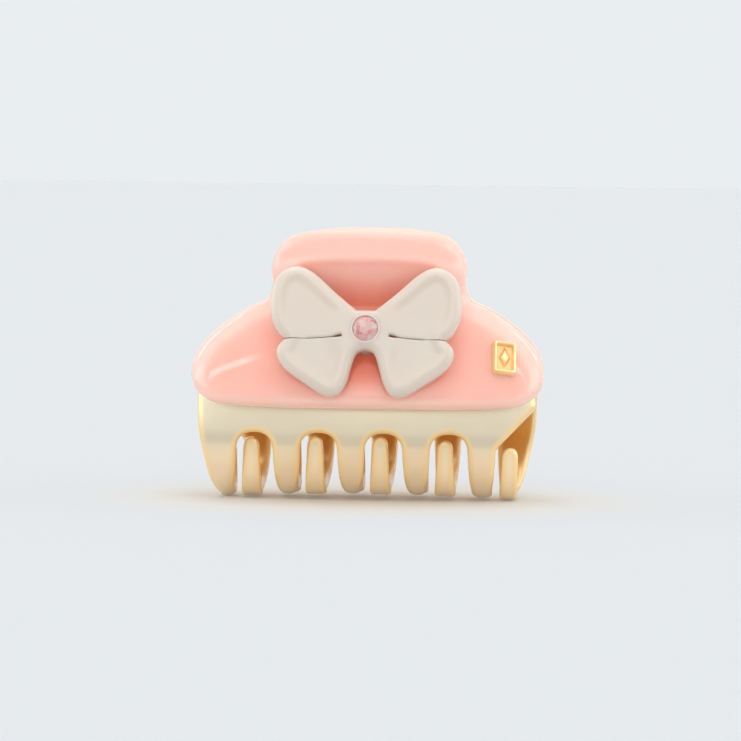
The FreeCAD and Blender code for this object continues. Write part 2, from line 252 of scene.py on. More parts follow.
def grid_faces(rows: int, columns: int) -> Array:
    """Quads between neighbouring rows of a grid whose rows close on themselves."""
    row, column = np.meshgrid(np.arange(rows - 1), np.arange(columns), indexing="ij")
    after = (column + 1) % columns
    corners = [row * columns + column, row * columns + after,
               (row + 1) * columns + after, (row + 1) * columns + column]
    return np.stack(corners, axis=-1).reshape(-1, 4)


@dataclass
class Plate:
    """A plate of any outline: its two faces are heights over a flat drawing of it.

    Rings run inward from the edge over the rim, and points on an even grid fill the rest.
    """

    outline: Array
    front: Surface
    back: Surface
    place: Callable[[Array, Array], Array]
    rim: float
    rings: int
    edge_steps: int = 3
    fill: float = 0.45
    clearance: float = 0.55

    def ring_insets(self) -> Array:
        """Distances of the rings from the edge, closest where the rim turns fastest."""
        return self.rim * (1 - np.cos(np.linspace(0, math.pi / 2, self.rings + 1)))

    def filling(self, ring: Array) -> tuple[Array, list]:
        """Grid points inside the last ring and the triangles over ring and points.

        Args:
            ring: The innermost ring.

        Returns:
            The added points, and triangles that number the ring's points first.
        """
        low, high = ring.min(0), ring.max(0)
        xs = np.arange(low[0], high[0], self.fill)
        ys = np.arange(low[1], high[1], self.fill * math.sqrt(3) / 2)
        grid = np.stack(np.meshgrid(xs, ys), axis=-1)
        grid[1::2, :, 0] += self.fill / 2
        grid = grid.reshape(-1, 2)
        grid = grid[inside(grid, ring)]
        grid = grid[distance_to(grid, ring) > self.fill * self.clearance]
        count = len(ring)
        every = [Vector(p) for p in np.vstack([ring, grid]).tolist()]
        edges = [(i, (i + 1) % count) for i in range(count)]
        verts, _, faces, *_ = delaunay_2d_cdt(every, edges, [], 1, 1e-7)
        if len(verts) != len(every):
            LOG.warning("filling moved points: %d for %d", len(verts), len(every))
        return grid, [tuple(face) for face in faces]

    def build(self, name: str) -> bpy.types.Object:
        """Makes the plate's mesh, with attributes that its finish reads.

        They are the distance from the edge in millimetres, the height as a share of the highest,
        and 1 on the outer face.

        Args:
            name: Name of the piece.

        Returns:
            The closed mesh object.
        """
        loop = anticlockwise(self.outline)
        normal = inward(loop)
        loops = [loop + normal * inset for inset in self.ring_insets()]
        grid, triangles = self.filling(loops[-1])
        flat, height = [], []
        for ring in loops[::-1]:
            flat.append(ring)
            height.append(self.back(ring))
        for step in range(1, self.edge_steps):
            share = step / self.edge_steps
            flat.append(loop)
            height.append(self.back(loop) * (1 - share) + self.front(loop) * share)
        for ring in loops:
            flat.append(ring)
            height.append(self.front(ring))
        count, rows = len(loop), len(flat)
        quads = grid_faces(rows, count)
        last = (rows - 1) * count
        total = rows * count
        flat += [grid, grid]
        height += [self.front(grid), self.back(grid)]
        points = self.place(np.vstack(flat), np.concatenate(height))
        tri = np.array(triangles)
        on_front = np.where(tri < count, tri + last, tri - count + total)
        on_back = np.where(tri < count, tri, tri - count + total + len(grid))
        faces = [tuple(q) for q in quads] + [tuple(f) for f in on_front]
        faces += [tuple(f) for f in on_back[:, ::-1]]
        obj = make_object(name, points, faces)
        edge = distance_to(np.vstack(flat), loop)
        outer = np.zeros(len(points))
        outer[(len(loops) + self.edge_steps - 1) * count:total + len(grid)] = 1
        level = np.concatenate(height)
        add_attribute(obj, "edge_distance", edge)
        add_attribute(obj, "fullness", level / level.max())
        add_attribute(obj, "outer_face", outer)
        face_outwards(obj)
        return obj


def face_outwards(obj: bpy.types.Object) -> None:
    """Turns a closed mesh's faces over if its volume comes out negative."""
    mesh = obj.data
    mesh.calc_loop_triangles()
    corners = np.empty(len(mesh.loop_triangles) * 3, int)
    mesh.loop_triangles.foreach_get("vertices", corners)
    places = np.empty(len(mesh.vertices) * 3)
    mesh.vertices.foreach_get("co", places)
    a, b, c = places.reshape(-1, 3)[corners.reshape(-1, 3)].transpose(1, 0, 2)
    if np.sum(a * np.cross(b, c)) < 0:
        mesh.flip_normals()


def tube(path: Array, radius: float, around: int) -> tuple[Array, Array]:
    """Round wire along a path, with rounded ends.

    Each section stands square to the path on axes carried from one point to the next without
    twist, and the ends close over three shrinking sections.

    Args:
        path: Points of the middle line.
        radius: Radius of the wire.
        around: Corners of a section.

    Returns:
        Vertices and faces.
    """
    along = np.gradient(path, axis=0)
    along /= np.linalg.norm(along, axis=1)[:, None]
    side = np.cross(along[0], [1.0, 0.2, 0.1])
    sides = []
    for direction in along:
        side = side - direction * np.dot(side, direction)
        side = side / np.linalg.norm(side)
        sides.append(side)
    u = np.array(sides)
    v = np.cross(along, u)
    caps = np.array([0.9, 0.6, 0.02])
    reach = np.sqrt(1 - caps ** 2) * radius * 0.6
    path = np.vstack([path[0] - along[0] * reach[::-1, None], path, path[-1] + along[-1] * reach[:, None]])
    size = np.concatenate([caps[::-1], np.ones(len(along)), caps]) * radius
    u = np.vstack([np.repeat(u[:1], 3, 0), u, np.repeat(u[-1:], 3, 0)])
    v = np.vstack([np.repeat(v[:1], 3, 0), v, np.repeat(v[-1:], 3, 0)])
    angle = 2 * math.pi * np.arange(around) / around
    ring = np.cos(angle)[None, :, None] * u[:, None] + np.sin(angle)[None, :, None] * v[:, None]
    points = path[:, None] + ring * size[:, None, None]
    count = len(path)
    faces = [tuple(q) for q in grid_faces(count, around)]
    faces.append(tuple(range(around)))
    faces.append(tuple(reversed(range((count - 1) * around, count * around))))
    return points.reshape(-1, 3), faces


def turned(profile: Array, around: int, height: float) -> tuple[Array, list]:
    """Profile of (x, radius) pairs turned about the hinge axis.

    Args:
        profile: Points from one end of the axis to the other, with no radius at both ends.
        around: Sides of the round.
        height: Height of the axis.

    Returns:
        Vertices and faces.
    """
    angle = 2 * math.pi * np.arange(around) / around
    radius = np.maximum(profile[:, 1], 1e-4)[:, None]
    x = np.repeat(profile[:, :1], around, 1)
    points = np.stack([x, radius * np.sin(angle), height + radius * np.cos(angle)], axis=-1)
    faces = [tuple(q) for q in grid_faces(len(profile), around)]
    faces.append(tuple(range(around)))
    faces.append(tuple(reversed(range((len(profile) - 1) * around, len(profile) * around))))
    return points.reshape(-1, 3), faces


# ---------------------------------------------------------------- the jaws' common line


@dataclass
class JawSheet:
    """The curved sheet that walls, teeth and covers follow.

    A middle line in the Y-Z plane runs from above the finger plate round the waist and the dome,
    down the teeth, under the clip and up the tips. Away from the middle of the clip it is drawn
    in towards the hinge by the fall of the plan radius, R - sqrt(R^2 - x^2).
    """

    wall: float = 2.2
    plan_radius: float = 65.0
    plan_reach: float = 9.0
    foot_arc: float = 0.8
    foot_arc_top: float = 14.3
    end_tooth: float = 22.2
    tip_clamp: float = 24.3
    lift: float = 0.02
    steps: int = 24
    half: float = 28.0
    line: tuple = (
        (11.6, 45.0), (9.4, 40.4), (7.2, 36.0), (5.5, 32.4), (5.1, 29.6), (6.7, 26.0), (9.1, 22.0),
        (10.9, 18.0), (11.8, 14.0), (11.9, 10.0), (11.0, 6.4), (8.9, 3.4), (5.4, 1.6), (0.6, 1.1),
        (-4.8, 1.3), (-8.2, 2.6), (-9.3, 5.6), (-9.3, 11.5),
    )
    stations: Array = field(init=False)
    middle: Array = field(init=False)
    normal: Array = field(init=False)
    run: Array = field(init=False)

    def __post_init__(self) -> None:
        """Draws the line at every station across the clip."""
        self.stations = np.linspace(-self.half, self.half, 57)
        lines = np.array([through(self.corners(x), self.steps) for x in self.stations])
        self.middle = lines
        along = np.gradient(lines, axis=1)
        along /= np.linalg.norm(along, axis=2)[..., None]
        self.normal = np.stack([along[..., 1], -along[..., 0]], axis=-1)
        centre = lines[len(lines) // 2]
        self.run = np.concatenate([[0], np.cumsum(np.linalg.norm(np.diff(centre, axis=0), axis=1))])

    def sagitta(self, x: float) -> float:
        """How far the plan radius has fallen back at x."""
        return self.plan_radius - math.sqrt(self.plan_radius ** 2 - x ** 2)

    def corners(self, x: float) -> Array:
        """The line's corner points (y, z) at the station x."""
        ahead, height = np.array(self.line).T
        reach = np.sin(np.minimum(1, np.abs(ahead) / self.plan_reach) * math.pi / 2)
        fall = np.where(ahead > 0, self.sagitta(x), self.sagitta(min(abs(x), self.tip_clamp)))
        ahead = ahead - np.sign(ahead) * fall * reach
        share = min(1.0, abs(x) / self.end_tooth)
        low = np.maximum(0, 1 - height / self.foot_arc_top)
        return np.stack([-ahead, height + self.lift + self.foot_arc * (1 - share ** 2) * low], axis=1)

    def at(self, table: Array, x: Array, step: Array) -> Array:
        """Reads a table between its stations (rows) and steps (columns).

        Args:
            table: Values over stations and steps.
            x: Places across the clip.
            step: Places along the line, in steps.

        Returns:
            One value or vector per place.
        """
        row = np.clip((x - self.stations[0]) / (self.stations[1] - self.stations[0]),
                      0, len(self.stations) - 1.001)
        column = np.clip(step, 0, table.shape[1] - 1.001)
        r0, c0 = row.astype(int), column.astype(int)
        fr, fc = (row - r0), (column - c0)
        if table.ndim == 3:
            fr, fc = fr[:, None], fc[:, None]
        near = table[r0, c0] * (1 - fc) + table[r0, c0 + 1] * fc
        far = table[r0 + 1, c0] * (1 - fc) + table[r0 + 1, c0 + 1] * fc
        return near * (1 - fr) + far * fr

    def run_at_height(self, height: Any, tips: bool = False) -> Array:
        """Distance along the middle line at a height, on the wall or on the tips."""
        centre = self.middle[len(self.stations) // 2]
        lowest = int(np.argmin(centre[:, 1]))
        part = slice(lowest, None) if tips else slice(0, lowest + 1)
        heights, runs = centre[part, 1], self.run[part]
        if not tips:
            heights, runs = heights[::-1], runs[::-1]
        return np.interp(height, heights, runs)

    def place(self, flat: Array, offset: Array) -> Array:
        """Carries flat points (x, distance along the line) and an outward offset into space."""
        step = np.interp(flat[:, 1], self.run, np.arange(len(self.run)))
        middle = self.at(self.middle, flat[:, 0], step)
        normal = self.at(self.normal, flat[:, 0], step)
        normal /= np.linalg.norm(normal, axis=1)[:, None]
        yz = middle + normal * offset[:, None]
        return np.column_stack([flat[:, 0], yz])

    def depth_table(self, offset: float, heights: Array) -> Array:
        """The y of an offset of the wall over stations and heights."""
        shifted = self.middle + self.normal * offset
        last = int(np.argmin(self.middle[len(self.stations) // 2, :, 1]))
        rows = [np.interp(heights, line[:last][::-1, 1], line[:last][::-1, 0]) for line in shifted]
        return np.array(rows)


# ---------------------------------------------------------------- pieces


@dataclass
class CoverOutline:
    """Outline shared by the covers and, drawn smaller, by the finger plates behind them."""

    half_width: float = 27.2
    top: float = 42.05
    bottom: float = 14.6
    hinge: float = HINGE
    right: tuple = (
        (0.000, -1.000), (0.420, -1.005), (0.730, -0.995), (0.895, -0.945), (0.978, -0.820),
        (1.000, -0.640), (0.978, -0.475), (0.898, -0.270), (0.782, -0.100), (0.655, 0.045),
        (0.580, 0.125), (0.550, 0.230), (0.548, 0.450), (0.528, 0.680), (0.460, 0.862),
        (0.320, 0.965), (0.000, 1.000),
    )

    def loop(self, inset: float = 0.0) -> Array:
        """Closed outline in x and z, or that of a plate smaller by the inset."""
        x, z = np.array(self.right).T
        above, below = self.top - inset - self.hinge, self.hinge - self.bottom
        half = np.stack([x * (self.half_width - inset),
                         self.hinge + z * np.where(z > 0, above, below)], axis=1)
        mirrored = half[-2:0:-1] * [-1, 1]
        return through(np.vstack([half, mirrored]), 24, closed=True)


@dataclass
class Jaw:
    """Gold moulding: finger plate, wall, five teeth that curve under the clip, and knuckles."""

    sheet: JawSheet
    outline: CoverOutline
    inset: float = 1.2
    pitch: float = 10.0
    shift: float = 2.2
    root_width: float = 4.2
    foot_width: float = 3.2
    tip_width: float = 2.45
    arch_top: float = 10.75
    arch_fullness: float = 0.8
    tip_heights: tuple = (8.9, 9.8, 10.3, 10.3, 10.05)
    cut_foot: tuple = (2.2, 8.7)
    free_side: tuple = ((26.2, 18.0), (26.2, 14.7), (26.0, 10.9), (25.1, 6.7), (24.25, 3.6), (23.75, 2.4))
    free_foot: float = 23.3
    edge: float = 0.85
    foot_edge: float = 1.5
    foot_run: tuple = (6.0, 3.0)
    tip_edge: float = 0.5
    tip_run: tuple = (5.0, 2.0)
    spacing: float = 0.32
    hinge: float = HINGE
    knuckle_radius: float = 3.0
    knuckle_width: float = 2.7
    knuckle_gap: float = 0.2
    knuckle_start: float = 4.0
    knuckle_ease: float = 0.35
    bore: float = 0.95
    web: float = 2.5

    def tooth_places(self) -> list[float]:
        """Middles of the teeth from left to right, seen from the jaw's own side."""
        return [self.pitch * (index - 2) - self.shift for index in range(5)]

    def tooth(self, place: float, tip_height: float) -> Array:
        """One tooth's outline from the left of its foot, round the tip, to the right of its foot."""
        foot_run = self.sheet.run_at_height(self.sheet.wall)
        bend_run = self.sheet.run_at_height(self.sheet.wall, tips=True)
        half_tip = self.tip_width / 2
        tip_run = self.sheet.run_at_height(tip_height - half_tip, tips=True)
        angle = np.linspace(math.pi, 0, 13)[:, None]
        crown = np.hstack([place + half_tip * np.cos(angle), tip_run + half_tip * np.sin(angle)])
        half = self.foot_width / 2
        free = max(place - half, -self.free_foot)
        left = [[free, foot_run], [free, bend_run]]
        right = [[place + half, bend_run], [place + half, foot_run]]
        return np.vstack([left, crown, right])

    def flat_outline(self) -> Array:
        """The whole jaw drawn flat: x across, distance along the sheet's line down."""
        run = self.sheet.run_at_height
        top = self.outline.loop(self.inset)
        top = top[top[:, 1] > self.free_side[0][1]]
        top = top[np.argsort(np.arctan2(top[:, 1] - self.free_side[0][1], -top[:, 0]))]
        places = self.tooth_places()
        cut = np.array([[self.free_side[1][0], run(self.free_side[1][1])],
                        [places[-1] + self.cut_foot[0], run(self.cut_foot[1])]])
        pieces = [np.column_stack([top[:, 0], run(top[:, 1])]), cut]
        arch = (self.pitch - self.root_width) / 2
        springing = self.arch_top - arch
        for index in range(len(places) - 1, -1, -1):
            pieces.append(self.tooth(places[index], self.tip_heights[index])[::-1])
            if index > 0:
                middle = places[index] - self.pitch / 2
                angle = np.linspace(0, math.pi, 25)
                wide = np.sign(np.cos(angle)) * np.abs(np.cos(angle)) ** self.arch_fullness
                height = springing + arch * np.sin(angle) ** self.arch_fullness
                pieces.append(np.column_stack([middle + arch * wide, run(height)]))
        side = through(np.array(self.free_side), 8)[::-1]
        pieces.append(np.column_stack([-side[:, 0], run(side[:, 1])]))
        return softened(evenly(np.vstack(pieces), self.spacing), 3)

    def build(self, side: Side) -> list[bpy.types.Object]:
        """Makes a jaw and its two knuckles.

        Args:
            side: The half of the clip it belongs to.

        Returns:
            The jaw first, then the knuckles.
        """
        loop = anticlockwise(self.flat_outline())
        half_wall = self.sheet.wall / 2
        bottom = self.sheet.run_at_height(self.sheet.wall)
        bend = self.sheet.run_at_height(self.sheet.wall, tips=True)

        def front(flat: Array) -> Array:
            """Outer face: half the wall less a rounded edge, fuller under the feet."""
            before, after = self.foot_run
            start, full = self.tip_run
            run = flat[:, 1]
            low = smooth(bottom - before, bottom, run) * (1 - smooth(bend - after, bend, run))
            radius = self.edge + (self.foot_edge - self.edge) * low
            radius = radius + (self.tip_edge - radius) * smooth(bend - start, bend - full, run)
            drop = np.minimum(radius, half_wall * 1.1)
            return half_wall - drop * rounding(distance_to(flat, loop), radius)

        def back(flat: Array) -> Array:
            """Inner face: half the wall less a rounded edge."""
            return -half_wall + self.edge * rounding(distance_to(flat, loop), self.edge)

        def place(flat: Array, height: Array) -> Array:
            """Onto the sheet, and round to the jaw's own side."""
            return self.sheet.place(flat, height) * [side.turn, side.turn, 1]

        plate = Plate(loop, front, back, place, rim=self.edge, rings=6)
        jaw = plate.build(side.value + "_jaw_moulding")
        starts = [-self.knuckle_start - 2 * self.knuckle_width - self.knuckle_gap, self.knuckle_start]
        knuckles = [self.knuckle(side, start, index) for index, start in enumerate(starts)]
        return [jaw] + knuckles

    def knuckle(self, side: Side, start: float, index: int) -> bpy.types.Object:
        """Ring and web round the pin, with eased edges.

        The outline is the wall's middle line between the web's edges, joined by tangents to an
        arc of the knuckle's radius; every ring of the solid is that outline drawn in or out.

        Args:
            side: The half of the clip it belongs to.
            start: Its left face.
            index: Number in its name.

        Returns:
            The knuckle.
        """
        far = max(abs(start), abs(start + self.knuckle_width))
        station = int(np.argmin(np.abs(self.sheet.stations - far)))
        line = self.sheet.middle[station]
        wall = line[(np.abs(line[:, 1] - self.hinge) < self.web) & (line[:, 0] < 0)][::3]
        half_arc = math.pi / 2 * 0.94
        angle = np.linspace(-half_arc, half_arc, 25)
        arc = np.column_stack([self.knuckle_radius * np.cos(angle),
                               self.hinge + self.knuckle_radius * np.sin(angle)])
        outer = softened(evenly(anticlockwise(np.vstack([wall, arc])), 0.25), 2)
        to_axis = outer - [0, self.hinge]
        turn = np.arctan2(to_axis[:, 1], to_axis[:, 0])
        bore = np.column_stack([self.bore * np.cos(turn), self.hinge + self.bore * np.sin(turn)])
        normal = inward(outer)
        ease, width = self.knuckle_ease, self.knuckle_width
        angles = np.linspace(0, math.pi / 2, 4)
        sections = [(bore, 0.0)]
        sections += [(outer + normal * ease * (1 - math.sin(a)), ease * (1 - math.cos(a))) for a in angles]
        sections += [(outer + normal * ease * (1 - math.cos(a)), width - ease * (1 - math.sin(a)))
                     for a in angles]
        sections += [(bore, width), (bore, 0.0)]
        points = np.vstack([np.column_stack([np.full(len(ring), start + x), ring]) for ring, x in sections])
        count = len(outer)
        faces = grid_faces(len(sections), count)
        first = (len(sections) - 1) * count
        faces = np.where(faces >= first, faces - first, faces)
        points = points[:first] * [side.turn, side.turn, 1]
        obj = make_object("%s_knuckle_%d" % (side.value, index + 1), points, list(faces))
        face_outwards(obj)
        return obj


@dataclass
class Cover:
    """Thick acetate shell over a jaw, full and round at its edge and sunk in the middle."""

    sheet: JawSheet
    outline: CoverOutline
    thickness: float = 3.6
    lip: float = 4.9
    shoulder: float = 3.4
    foot: float = 2.2
    edge_wall: float = 0.9
    lip_edge: float = 0.35
    ridge: float = 0.12
    ridge_width: float = 0.25
    back_edge: float = 0.35
    lip_rise: tuple = (34.0, 38.0)
    foot_fall: tuple = (16.0, 22.0)
    fold_share: float = 0.66
    fold_radius: float = 1.7
    fold_ease: float = 0.04
    heights: Array = field(default_factory=lambda: np.linspace(13.0, 43.0, 301))

    def faces(self) -> tuple[Array, Array]:
        """Tables of y for the shell's inner and outer faces."""
        near = self.sheet.wall / 2
        return (self.sheet.depth_table(near, self.heights),
                self.sheet.depth_table(near + self.thickness, self.heights))

    def build(self, side: Side) -> bpy.types.Object:
        """Makes a cover for one half of the clip."""
        loop = anticlockwise(evenly(self.outline.loop(), 0.35))
        inner, outer = self.faces()

        def read(table: Array, flat: Array) -> Array:
            """A face's y at flat points (x, z)."""
            step = (flat[:, 1] - self.heights[0]) / (self.heights[1] - self.heights[0])
            return self.sheet.at(table, flat[:, 0], step)

        def front(flat: Array) -> Array:
            """Share of the thickness reached by the outer face: round, with a crisp line under the lip."""
            up = smooth(*self.lip_rise, flat[:, 1])
            low = 1 - smooth(*self.foot_fall, flat[:, 1])
            width = self.shoulder + (self.lip - self.shoulder) * up + (self.foot - self.shoulder) * low
            distance = distance_to(flat, loop)
            wedge = 1 - distance / width
            crisp = 0.5 * (wedge + np.sqrt(wedge ** 2 + self.fold_ease ** 2))
            fold = self.fold_share * crisp + (1 - self.fold_share) * rounding(distance, self.fold_radius)
            drop = rounding(distance, width) * (1 - up) + fold * up
            edge = self.edge_wall + (self.lip_edge - self.edge_wall) * up
            crest = self.ridge * up * np.exp(-(wedge / self.ridge_width) ** 2)
            return 1 + (crest - (self.thickness - edge) * drop) / self.thickness

        def back(flat: Array) -> Array:
            """Share of the thickness at the inner face, eased at the edge."""
            return self.back_edge / self.thickness * rounding(distance_to(flat, loop), self.back_edge * 1.5)

        def place(flat: Array, share: Array) -> Array:
            """Between the two faces, straight along Y."""
            low, high = read(inner, flat), read(outer, flat)
            points = np.column_stack([flat[:, 0], low + (high - low) * share, flat[:, 1]])
            return points * [side.turn, side.turn, 1]

        plate = Plate(loop, front, back, place, rim=1.2, rings=8, fill=0.32)
        return plate.build(side.value + "_cover_shell")


@dataclass
class Bow:
    """Cream acetate bow: four dished wings with rounded rims, a slit between wings on each side."""

    height: float = 26.4
    back_distance: float = 14.3
    tilt: float = 13.0
    thickness: float = 3.0
    rim_radius: float = 1.35
    rim_drop: float = 1.3
    dish: float = 0.26
    dish_run: float = 1.3
    wing_start: tuple = (3.6, 7.5)
    slit_radius: float = 0.3
    slit_depth: float = 0.22
    hole_depth: float = 0.5
    hole_end: tuple = (3.8, 5.6)
    seat_radius: float = 2.12
    seat_depth: float = 0.5
    boss_radius: float = 3.4
    boss_levels: tuple = ((1.0, 0.3), (1.0, -0.6), (0.98, -1.4), (0.95, -2.4))
    upper: tuple = (
        (1.4, 3.0), (3.4, 4.6), (6.0, 6.9), (8.5, 9.0), (10.6, 9.75), (12.5, 9.2),
        (13.9, 7.6), (14.5, 5.4), (14.5, 2.6), (13.8, 0.2), (12.3, -1.5),
    )
    slit: tuple = ((9.0, -1.58), (6.4, -1.42), (5.0, -1.26), (4.5, -1.05), (3.7, -0.85), (3.6, -1.15),
                   (4.4, -1.3), (5.0, -1.34), (6.4, -1.5), (9.0, -1.66))
    lower: tuple = (
        (12.4, -1.75), (13.5, -3.4), (13.0, -5.2), (11.0, -7.1), (8.0, -9.1), (5.8, -10.2),
        (4.2, -10.1), (3.1, -8.9), (2.35, -6.8), (1.8, -4.8), (1.1, -3.5), (0.0, -3.15),
    )

    def place(self, flat: Array, forward: Array) -> Array:
        """Points drawn on the bow's back plane, leaning back and set before the cover."""
        lean = math.radians(self.tilt)
        up, ahead = flat[:, 1], forward
        y = -self.back_distance + up * math.sin(lean) - ahead * math.cos(lean)
        z = self.height + up * math.cos(lean) + ahead * math.sin(lean)
        return np.column_stack([flat[:, 0], y, z])

    @staticmethod
    def both_halves(right: list[Array]) -> Array:
        """Closed line from the parts of its right half, top notch to bottom notch."""
        half = np.vstack(right)
        return np.vstack([half, half[::-1] * [-1, 1]])

    def build(self) -> list[bpy.types.Object]:
        """Makes the bow with a sunk land for the stone, and the boss behind it."""
        upper, lower = through(np.array(self.upper), 10), through(np.array(self.lower), 10)
        loop = anticlockwise(evenly(self.both_halves([upper, np.array(self.slit), lower]), 0.2))
        rim = self.both_halves([upper, lower])
        cuts = [np.array(self.slit) * [sign, 1] for sign in (1, -1)]

        def front(flat: Array) -> Array:
            """Outer face: rounded rim, a shallow dish in each wing, a soft step at the slits and a
            flat round land for the stone."""
            edge = distance_to(flat, rim)
            centre = np.hypot(flat[:, 0], flat[:, 1])
            top = self.thickness - self.rim_drop * rounding(edge, self.rim_radius)
            dished = smooth(self.rim_radius * 0.9, self.rim_radius + self.dish_run, edge)
            top = top - self.dish * dished * smooth(*self.wing_start, centre)
            near = 1 - smooth(*self.hole_end, np.abs(flat[:, 0]))
            for cut in cuts:
                groove = rounding(distance_to(flat, cut, closed=False), self.slit_radius)
                top = top - (self.slit_depth + self.hole_depth * near) * groove
            land = 1 - smooth(self.seat_radius - 0.25, self.seat_radius + 0.1, centre)
            return top - self.seat_depth * land

        def back(flat: Array) -> Array:
            """Flat back with an eased edge."""
            return 0.4 * rounding(distance_to(flat, loop), 0.5)

        plate = Plate(loop, front, back, self.place, rim=0.45, rings=4, fill=0.3)
        bow = plate.build("bow_plate")
        return [bow, self.boss()]

    def boss(self) -> bpy.types.Object:
        """Round boss that holds the bow off the cover."""
        angle = np.linspace(0, 2 * math.pi, 49)[:-1]
        ring = np.column_stack([np.cos(angle), np.sin(angle)]) * self.boss_radius
        shares, levels = np.array(self.boss_levels).T
        flat = np.vstack([ring * share for share in shares])
        points = self.place(flat, np.repeat(levels, len(ring)))
        last = (len(levels) - 1) * len(ring)
        faces = list(grid_faces(len(levels), len(ring)))
        faces += [tuple(range(len(ring))), tuple(reversed(range(last, last + len(ring))))]
        boss = make_object("bow_boss", points, faces)
        face_outwards(boss)
        return boss


@dataclass
class Stone:
    """Round cut stone in the bow's middle: table, crown and girdle facets over a foiled back."""

    bow: Bow
    radius: float = 1.93
    base: float = 1.6
    girdle: float = 2.72
    crown: float = 0.95
    table: float = 0.52
    sides: int = 8
    seat_radius: float = 2.12
    seat_rise: float = 0.1
    seat_size: tuple = (0.2, 0.24)

    def ring(self, radius: float, height: float, phase: float, sides: int) -> Array:
        """Corners (x, up, forward) of one level of the cut."""
        angle = 2 * math.pi * (np.arange(sides) + phase) / sides
        return np.column_stack([radius * np.sin(angle), radius * np.cos(angle), np.full(sides, height)])

    def build(self) -> list[bpy.types.Object]:
        """Makes the stone, its foil and the pale ring it sits in."""
        n = self.sides
        rows = [
            self.ring(self.radius * self.table, self.girdle + self.crown, 0.5, n),
            self.ring(self.radius * 0.80, self.girdle + self.crown * 0.55, 0.0, n),
            self.ring(self.radius, self.girdle + 0.08, 0.0, 2 * n),
            self.ring(self.radius, self.girdle - 0.06, 0.0, 2 * n),
        ]
        points = np.vstack(rows + [[[0, 0, self.base]]])
        star, upper, lower, culet = n, 2 * n, 4 * n, 6 * n
        around = np.arange(2 * n)
        after = (around + 1) % (2 * n)
        faces = [tuple(range(n))[::-1]]
        faces += [(i, star + i, (i - 1) % n) for i in range(n)]
        faces += [(i, star + (i + 1) % n, upper + 2 * i + 1, star + i) for i in range(n)]
        faces += [(star + i, upper + 2 * i + 1, upper + 2 * i) for i in range(n)]
        faces += [(star + i, upper + 2 * i, upper + (2 * i - 1) % (2 * n)) for i in range(n)]
        faces += [(upper + i, upper + j, lower + j, lower + i) for i, j in zip(around, after)]
        faces += [(lower + i, lower + j, culet) for i, j in zip(around, after)]
        stone = make_object("cut_stone", self.bow.place(points[:, :2], points[:, 2]), faces, flat=True)
        self.turn_outwards(stone)
        return [stone, self.foil(), self.seat()]

    @staticmethod
    def turn_outwards(obj: bpy.types.Object) -> None:
        """Turns every facet outwards, whichever way its corners were listed."""
        bpy.context.view_layer.objects.active = obj
        obj.select_set(True)
        bpy.ops.object.mode_set(mode="EDIT")
        bpy.ops.mesh.select_all(action="SELECT")
        bpy.ops.mesh.normals_make_consistent(inside=False)
        bpy.ops.object.mode_set(mode="OBJECT")
        obj.select_set(False)

    def foil(self) -> bpy.types.Object:
        """Pointed foil cup under the stone, its facets turned half a step from the crown's."""
        n = 2 * self.sides
        rows = [self.ring(self.radius * 0.97, self.girdle - 0.16, 0.5, n),
                self.ring(self.radius * 0.5, self.base + 0.35, 0.0, n)]
        points = np.vstack(rows + [[[0, 0, self.base - 0.12]],
                                   self.ring(self.radius, self.girdle - 0.3, 0.5, n),
                                   [[0, 0, self.base - 0.5]]])
        index = np.arange(n)
        after = (index + 1) % n
        tip, outer, under = 2 * n, 2 * n + 1, 3 * n + 1
        faces = [(i, j, n + j) for i, j in zip(index, after)]
        faces += [(i, n + j, n + i) for i, j in zip(index, after)]
        faces += [(n + i, n + j, tip) for i, j in zip(index, after)]
        faces += [(j, i, outer + i, outer + j) for i, j in zip(index, after)]
        faces += [(outer + j, outer + i, under) for i, j in zip(index, after)]
        foil = make_object("stone_foil", self.bow.place(points[:, :2], points[:, 2]), faces, flat=True)
        self.turn_outwards(foil)
        return foil

    def seat(self) -> bpy.types.Object:
        """Rolled rim of the seat: a small round section carried round the stone."""
        around, small = 64, 12
        phi = 2 * math.pi * np.arange(around) / around
        psi = 2 * math.pi * np.arange(small) / small
        radius = self.seat_radius + self.seat_size[0] * np.cos(psi)
        height = self.girdle + self.seat_rise + self.seat_size[1] * np.sin(psi)
        x = np.cos(phi)[:, None] * radius
        up = np.sin(phi)[:, None] * radius
        flat = np.stack([x, up], axis=-1).reshape(-1, 2)
        points = self.bow.place(flat, np.tile(height, around))
        faces = grid_faces(around + 1, small) % (around * small)
        seat = make_object("stone_seat_rim", points, list(faces))
        face_outwards(seat)
        return seat


